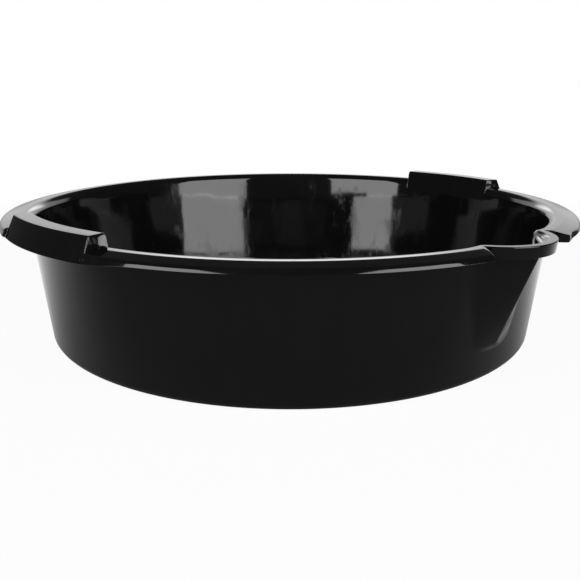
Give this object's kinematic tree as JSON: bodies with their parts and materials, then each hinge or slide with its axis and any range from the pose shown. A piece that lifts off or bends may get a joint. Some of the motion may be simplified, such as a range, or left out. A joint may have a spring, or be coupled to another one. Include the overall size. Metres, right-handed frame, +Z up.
{
  "type": "oil drain pan",
  "caption": "Low round basin that catches drained oil, with a rolled rim, raised hollow hand grips and a V-shaped channel that pours over a rounded lip.",
  "frame": {"origin": "on the surface that the pan stands on, under the middle of the basin", "axes": "+Z up, out of the open top; -Y towards the pouring lip; the grips lie near +X and -X"},
  "size_m": [0.448, 0.456, 0.1055],
  "materials": {
    "black_plastic": "gloss"
  },
  "bodies": {
    "root": {"floor_panel": "black_plastic", "base_ring": "black_plastic", "side_wall": "black_plastic", "pour_channel": "black_plastic", "rim_back": "black_plastic", "rim_front_right": "black_plastic", "rim_front_left": "black_plastic", "pour_lip": "black_plastic", "grip_right": "black_plastic", "grip_left": "black_plastic"}
  },
  "joints": []
}
